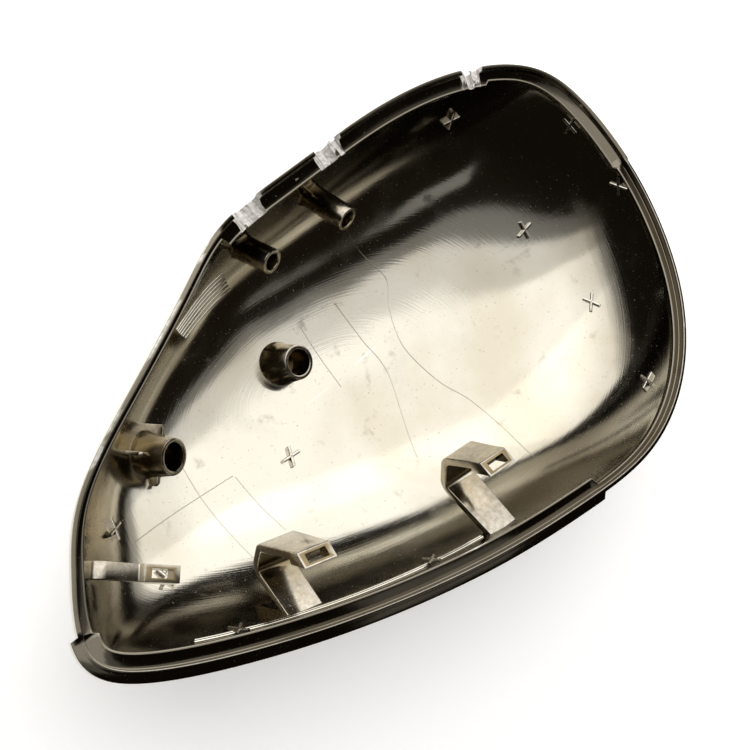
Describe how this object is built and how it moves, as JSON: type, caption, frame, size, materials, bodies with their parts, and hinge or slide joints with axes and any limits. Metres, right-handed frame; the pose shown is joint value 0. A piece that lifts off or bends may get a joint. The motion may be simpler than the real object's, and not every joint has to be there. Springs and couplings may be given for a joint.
{
  "type": "wing mirror cover",
  "caption": "Chrome plated moulded cover for a car's wing mirror, open on its inner side, with a stepped rim, moulded hooks with eyes, hollow bosses and wall tubes.",
  "frame": {"origin": "under the middle of the outline of the rim, at the lowest point of the dome", "axes": "+X along the cover to its wide end, +Y to the upper edge of the mirror, +Z out of the open side"},
  "size_m": [0.2238, 0.1369, 0.0526],
  "materials": {
    "plating": "bright chrome plating on moulded plastic, a little soft in its reflections"
  },
  "bodies": {
    "root": {"mirror_cover": "plating"}
  },
  "joints": []
}
